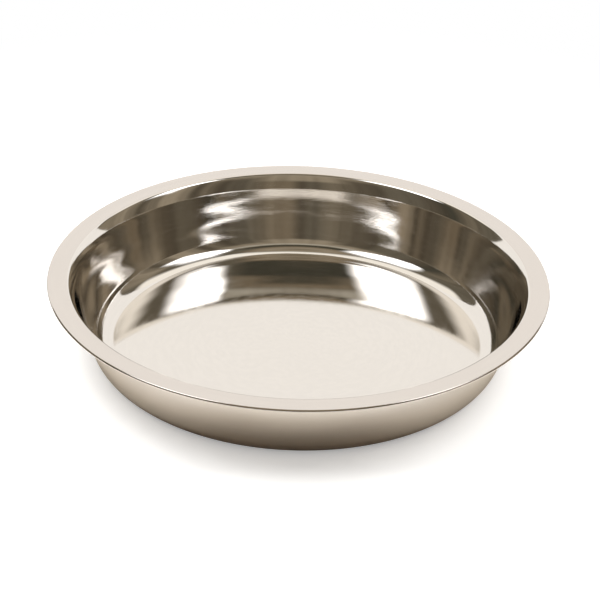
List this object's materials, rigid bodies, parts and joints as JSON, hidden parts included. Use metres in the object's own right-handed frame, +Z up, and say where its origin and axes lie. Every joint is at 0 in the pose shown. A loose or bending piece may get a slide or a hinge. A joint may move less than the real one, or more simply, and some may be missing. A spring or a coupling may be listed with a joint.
{
  "type": "dog bowl",
  "caption": "Shallow round steel feeding bowl pressed from one sheet, with a flat rim, a turned-under edge, a leaning wall and a flat floor.",
  "frame": {"origin": "centre of the underside of the flat floor, on the surface that the bowl rests on", "axes": "+Z up along the axis of revolution; X and Y lie in the resting plane, square to each other"},
  "size_m": [0.28, 0.28, 0.0455],
  "materials": {
    "polished_steel": "mirror polished stainless steel with faint circular polish lines"
  },
  "bodies": {
    "root": {"bowl": "polished_steel"}
  },
  "joints": []
}
